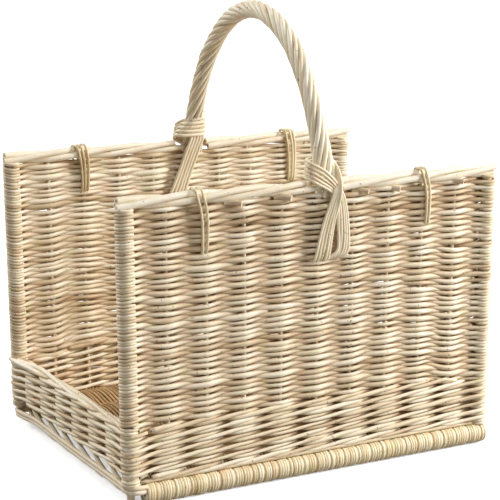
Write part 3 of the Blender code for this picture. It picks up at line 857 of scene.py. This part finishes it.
def floorWeave():
    # Rod i stands at its own x; its height is the sticks' height plus or minus the reach times the cosine
    # of half a turn for each stick passed, the other way round for every second rod
    rng = np.random.default_rng(81)
    stickY = np.array([middleOf(f"base_stick_{i}").y for i in range(1, 6)])
    stickZ = middleOf("base_stick_1").z
    number, wide = base["number"], halfX - base["inset"]
    x = np.linspace(-wide, wide, number) + rng.normal(0, 0.0004, number)
    y = np.linspace(-halfY, halfY, 36)
    turns = (y - stickY[0]) / (stickY[1] - stickY[0])
    way = np.where(np.arange(number) % 2 == 0, 1, -1)[:, None]
    path = pathOf(x[:, None] + 0.0005 * way * np.sin(pi * turns), y,
                  stickZ + way * base["reach"] * np.cos(pi * turns))
    size = base["rod"] * rng.uniform(0.88, 1.1, (number, 1)) * (1 + base["taper"] * way * y / halfY)
    piece("floorWeave", [rods(path, size, (1, 0, 0), rng.uniform(0, 1, number), sides=7)],
          floorWillow, "floor_willow", "base_weave")
    # The sticks are straight and a little thinner towards the right.
    low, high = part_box("base_stick_1")
    t = np.linspace(0, 1, 40)
    path = pathOf(low.x + (high.x - low.x) * t, stickY[:, None], stickZ)
    size = (high.z - low.z) / 2 * (1.0 - 0.1 * t)
    piece("baseSticks", [rods(path, size, (0, 0, 1), rng.uniform(0.2, 0.9, len(stickY)), sides=12)],
          floorWillow, "floor_willow", *[f"base_stick_{i}" for i in range(1, 6)], sharp=40)


floorWeave()
print("floor and runners made")


# Ties: thin rods looped over a rail and through the wall under it

tie = {
    "spots": {  # side, x, each strand's place beside that, lean of the top, height of the bottom
        "front_tie_left": (-1, -0.1705, (-0.0040, 0.0040), -0.008, 0.3275),
        "front_tie_right": (-1, 0.1720, (-0.0036, 0.0036), -0.008, 0.3345),
        "back_tie_left": (1, -0.1690, (-0.0074, -0.0006, 0.0060), -0.004, 0.3445),
        "back_tie_right": (1, 0.1820, (-0.0074, 0.0002, 0.0066), -0.005, 0.3340),
    },
    "rod": {-1: 0.0018, 1: 0.0020},
    "overRail": 0.0118,
    "out": 0.0102,  # half of a loop's width, and how much wider it is over the rail
    "wider": 0.0022,
}


def ties():
    # Each loop is a circle squared off by raising its sine and cosine to a power below one; strands draw
    # together towards the bottom and lean aside at the top
    t = tau * np.arange(30) / 30
    rise = np.sign(np.sin(t)) * np.abs(np.sin(t)) ** 0.55
    across = np.sign(np.cos(t)) * np.abs(np.cos(t)) ** 0.45
    out = tie["out"] + tie["wider"] * smooth(np.sin(t) + 0.2)
    share = (1 + rise) / 2
    high = railZ + tie["overRail"]
    for order, (node, (side, x, strands, lean, low)) in enumerate(tie["spots"].items()):
        rng = np.random.default_rng(90 + order)
        number = len(strands)
        beside = np.array(strands)[:, None] * (0.7 + 0.3 * share) + lean * smooth((share - 0.55) / 0.45)
        path = pathOf(x + beside + rng.normal(0, 0.0006, (number, 1)) * np.cos(t),
                      side * halfY + out * across,
                      low + (high - low) * share + rng.normal(0, 0.0005, (number, 1)))
        size = tie["rod"][side] * rng.uniform(0.9, 1.1, (number, 1))
        piece(node.title().replace("_", ""),
              [rods(path, size, (1, 0, 0), rng.uniform(0.35, 0.9, number), closed=True)],
              splitCane, "split_cane", node)


ties()


# Handle: nine rods roped round a bent stick

handle = {
    "strands": 9,
    "strandRadius": 0.0033,
    "ring": 0.0094,  # from the bow's line to a strand's
    "core": 0.0072,
    "topPitch": 0.165,
    "footPitch": 0.33,
    "halfSpan": 0.1995,
    "springZ": 0.3363,  # height of the ellipse's middle
    "rise": 0.2842,
    "footZ": 0.386,  # where strands and core start
    "lean": (-0.003, 0.40, 0.06),  # how far the bow stands aside, above what height, over what length
    "flatBelow": (0.47, 0.06),  # where the ring gets wider and flatter, and over what length
    "paintedShade": 0.45,  # how much painted shade darkens strands where they face the bow
    "points": 230,
    "sides": 10,
}


def bow(theta):
    # Half an ellipse from wall to wall, standing up; it leans a little aside above the feet. The second
    # result points straight out of the ellipse, the third is 1 at the feet and falls to 0 above them.
    lean, leanFrom, leanOver = handle["lean"]
    flatBelow, flatOver = handle["flatBelow"]
    z = handle["springZ"] + handle["rise"] * np.sin(theta)
    x = handleX + lean * smooth((z - leanFrom) / leanOver)
    outward = unit(pathOf(0, handle["rise"] * np.cos(theta), handle["halfSpan"] * np.sin(theta)))
    return pathOf(x, handle["halfSpan"] * np.cos(theta), z), outward, smooth((flatBelow - z) / flatOver)


def ropedHandle():
    # Strand k stands on a ring round the bow, at angle k ninths of a turn less the twist so far, where the
    # twist grows by a full turn for each pitch of the way; near the feet the ring widens and flattens
    rng = np.random.default_rng(101)
    number, points, sides = handle["strands"], handle["points"], handle["sides"]
    low = np.arcsin((handle["footZ"] - handle["springZ"]) / handle["rise"])
    theta = np.linspace(low, pi - low, points)
    centre, outward, foot = bow(theta)
    pitch = handle["footPitch"] + (handle["topPitch"] - handle["footPitch"]) * np.sin(theta) ** 0.7
    twist = np.cumsum(np.linalg.norm(np.gradient(centre, axis=0), axis=1) * tau / pitch)
    order = np.arange(number)[:, None]
    angle = tau * order / number - (twist - twist[points // 2]) + rng.normal(0, 0.05, (number, 1))
    aside = np.array([1.0, 0, 0])
    hint = np.cos(angle)[..., None] * outward + np.sin(angle)[..., None] * aside
    ring = handle["ring"] * (1 + 0.03 * wander(rng, 5, 0.3)(twist * 0.02, order * 0.1))
    path = centre + (ring * (1 - 0.42 * foot) * np.cos(angle))[..., None] * outward \
        + (ring * (1 + 0.5 * foot) * np.sin(angle))[..., None] * aside
    size = handle["strandRadius"] * rng.uniform(0.9, 1.1, (number, 1))
    tone = np.clip(rng.normal(0.6, 0.25, number), 0, 1)
    made = rods(path, size, hint, tone, sides=sides)
    # Each ring of a strand's points starts on its outer side, so the ones half way round face the bow;
    # painted shade darkens those.
    inward = np.abs(2 * np.arange(sides) / sides - 1)
    paintedShade = handle["paintedShade"] * smooth(1 - inward * 2.4)
    made["paintedShade"][:number * points * sides] = np.tile(paintedShade, number * points)
    piece("handleRoping", [made], handleWillow, "handle_willow", "handle_roping")
    centre, outward, foot = bow(np.linspace(low, pi - low, 90))
    core = rods(centre, handle["core"] * (1 - 0.3 * foot), (1, 0, 0), [0.15], sides=12)
    piece("handleCore", [core], handleWillow, "handle_willow", "handle_bow")


# Rows of the bundles at the handle's feet, as bundle takes them. The loop goes up the outside of the wall,
# round the handle, down across its own start and down the wall again; the band goes down the inside.
foot = {
    "strands": 5,
    "loopRod": {"front": 0.0020, "back": 0.0028},
    "bandRod": 0.0025,
    "middle": (0.008, 0.004),  # the loop's rods face away from this x and this far inside the wall
    "up": [(0.0012, 0.0030, 0.2990, 0.0050, 0, 0),
           (0.0022, 0.0108, 0.3090, 0.0050, 0, 0),
           (0.0100, 0.0128, 0.3520, 0.0041, 0, 0),
           (0.0195, 0.0178, 0.3930, 0.0022, 0.0008, 0),
           (0.0258, 0.0105, 0.4090, 0.0012, 0, 0.0024)],
    "turn": {"front": [(0.0266, -0.0030, 0.4235, 0.0000, 0, 0.0040),
                       (0.0205, -0.0165, 0.4265, 0.0000, 0, 0.0052),
                       (0.0040, -0.0188, 0.4265, 0.0000, 0, 0.0056),
                       (-0.0160, -0.0060, 0.4258, 0.0005, 0, 0.0056)],
             "back": [(0.0266, -0.0030, 0.4320, 0.0000, 0, 0.0060),
                      (0.0215, -0.0155, 0.4320, 0.0000, 0, 0.0060),
                      (0.0040, -0.0175, 0.4310, 0.0010, 0, 0.0060),
                      (-0.0088, -0.0130, 0.4300, 0.0040, 0, 0.0054),
                      (-0.0104, -0.0015, 0.4296, 0.0040, 0, 0.0054)]},
    "down": [(-0.0145, 0.0085, 0.4222, 0.0006, 0, 0.0054),
             (-0.0020, 0.0125, 0.4145, 0.0026, 0, 0.0040),
             (0.0155, 0.0128, 0.4010, 0.0021, 0, 0.0028),
             (0.0285, 0.0122, 0.3830, 0.0026, 0, 0.0012),
             (0.0338, 0.0118, 0.3480, 0.0037, 0, 0),
             (0.0342, 0.0115, 0.3160, 0.0040, 0, 0),
             (0.0270, 0.0090, 0.3060, 0.0050, 0, 0),
             (0.0200, 0.0020, 0.3010, 0.0052, 0, 0)],
    "band": [(0.0110, -0.0150, 0.4320, 0.0042, 0, 0),
             (0.0100, -0.0165, 0.4150, 0.0048, 0, 0),
             (0.0040, -0.0150, 0.3980, 0.0050, 0, 0),
             (-0.0080, -0.0115, 0.3620, 0.0053, 0, 0),
             (-0.0185, -0.0102, 0.3320, 0.0056, 0, 0),
             (-0.0215, -0.0030, 0.3220, 0.0056, 0, 0)],
}


def feet():
    number = foot["strands"]
    middleX, inside = foot["middle"]
    for side, word in ((-1, "front"), (1, "back")):
        rng = np.random.default_rng(110 + side)
        path = bundle(rng, foot["up"] + foot["turn"][word] + foot["down"], number, side)
        hint = path - np.array([middleX, side * (halfY - inside), 0])
        hint[..., 2] = 0
        tone = np.clip(rng.normal(0.4, 0.25, number), 0, 1)
        size = foot["loopRod"][word] * rng.uniform(0.95, 1.05, (number, 1))
        piece(f"{word}FootLoop", [rods(path, size, unit(hint), tone)], handleWillow, "handle_willow",
              f"{word}_handle_collar", f"{word}_outer_lashing")
        path = bundle(rng, foot["band"], number, side)
        size = foot["bandRod"] * rng.uniform(0.92, 1.08, (number, 1))
        tone = np.clip(rng.normal(0.5, 0.2, number), 0, 1)
        piece(f"{word}FootBand", [rods(path, size, (0, 1, 0), tone)], handleWillow, "handle_willow",
              f"{word}_inner_lashing")


ropedHandle()
feet()
print("handle made")


# Floor, light and camera

ground = {
    "halfWidth": 30.0,
    "seen": (0.96, 0.96, 0.96, 1),
    "thrown": (0.42, 0.41, 0.40, 1),  # the colour that light bounces off, darker than what is seen
    "glow": 0.45,
}


def makeFloor():
    mesh = bpy.data.meshes.new("floor")
    wide = ground["halfWidth"]
    corners = [(-wide, -wide, 0), (wide, -wide, 0), (wide, wide, 0), (-wide, wide, 0)]
    mesh.from_pydata(corners, [], [(0, 1, 2, 3)])
    floor = addObject("floor", mesh)
    material, nodes, links, shader = newMaterial("paleFloor")
    shader.inputs["Roughness"].default_value = 0.9
    shader.inputs["Specular IOR Level"].default_value = 0.1
    # Pale to look at, darker in what it throws back, so that the basket keeps its shading.
    path, shade = nodes.new("ShaderNodeLightPath"), nodes.new("ShaderNodeMix")
    shade.data_type = "RGBA"
    shade.inputs[6].default_value = ground["thrown"]
    shade.inputs[7].default_value = ground["seen"]
    links.new(path.outputs["Is Camera Ray"], shade.inputs[0])
    links.new(shade.outputs[2], shader.inputs["Base Color"])
    links.new(path.outputs["Is Camera Ray"], shader.inputs["Emission Color"])
    shader.inputs["Emission Strength"].default_value = ground["glow"]
    mesh.materials.append(material)


studio = {
    "suns": {  # degrees round from the front towards the right, degrees up, strength, softness in degrees
        "keyLight": (62, 24, 1.4, 12),
        "rimLight": (-148, 28, 1.7, 12),
        "topLight": (4, 68, 1.12, 45),
    },
    "nearLight": {"at": (1.25, -0.75, 0.62), "power": 9, "size": 0.5, "target": (0.05, -0.1, 0.2)},
    "sky": 0.13,
    "backdrop": 1.3,
    "look": "Medium High Contrast",
    "exposure": 0.0,
}


def makeLights():
    for name, (azimuth, elevation, strength, softness) in studio["suns"].items():
        data = bpy.data.lights.new(name, "SUN")
        data.energy, data.angle = strength, radians(softness)
        addObject(name, data).rotation_euler = (radians(90 - elevation), 0, radians(azimuth))
    values = studio["nearLight"]
    data = bpy.data.lights.new("nearLight", "AREA")
    data.energy, data.size = values["power"], values["size"]
    lamp = addObject("nearLight", data)
    lamp.location = values["at"]
    lamp.rotation_euler = (Vector(values["target"]) - lamp.location).to_track_quat("-Z", "Y").to_euler()
    world = bpy.data.worlds.new("studioSky")
    world.use_nodes = True
    nodes, links = world.node_tree.nodes, world.node_tree.links
    sky = nodes["Background"]
    sky.inputs["Color"].default_value = (1, 1, 1, 1)
    sky.inputs["Strength"].default_value = studio["sky"]
    # The backdrop itself is white, whatever light the sky gives.
    backdrop = nodes.new("ShaderNodeBackground")
    backdrop.inputs["Color"].default_value = (1, 1, 1, 1)
    backdrop.inputs["Strength"].default_value = studio["backdrop"]
    path, choice = nodes.new("ShaderNodeLightPath"), nodes.new("ShaderNodeMixShader")
    links.new(path.outputs["Is Camera Ray"], choice.inputs["Fac"])
    links.new(sky.outputs[0], choice.inputs[1])
    links.new(backdrop.outputs[0], choice.inputs[2])
    links.new(choice.outputs[0], nodes["World Output"].inputs["Surface"])
    bpy.context.scene.world = world
    shown = bpy.context.scene.view_settings
    shown.view_transform, shown.look, shown.exposure = "Standard", studio["look"], studio["exposure"]


view = {
    "distance": 2.4133,
    "azimuth": -29.0542,  # degrees from straight in front, towards the left
    "elevation": 13.8809,
    "aimZ": 0.2200,
    "lens": 119.488,
    "sensor": 36.0,
    "shift": (0.0067, 0.0752),
    "roll": 0.008,
}


def makeCamera():
    data = bpy.data.cameras.new("camera")
    data.lens = view["lens"]
    data.sensor_width = view["sensor"]
    data.shift_x, data.shift_y = view["shift"]
    camera = addObject("camera", data)
    a, e = radians(view["azimuth"]), radians(view["elevation"])
    back = Vector((sin(a) * cos(e), -cos(a) * cos(e), sin(e)))
    right = Vector((cos(a), sin(a), 0))
    up = back.cross(right)
    turn = Matrix((right, up, back)).transposed().to_4x4()
    at = Vector((0, 0, view["aimZ"])) + back * view["distance"]
    camera.matrix_world = Matrix.Translation(at) @ turn @ Matrix.Rotation(view["roll"], 4, "Z")
    bpy.context.scene.camera = camera


makeFloor()
makeLights()
makeCamera()
print("studio made")
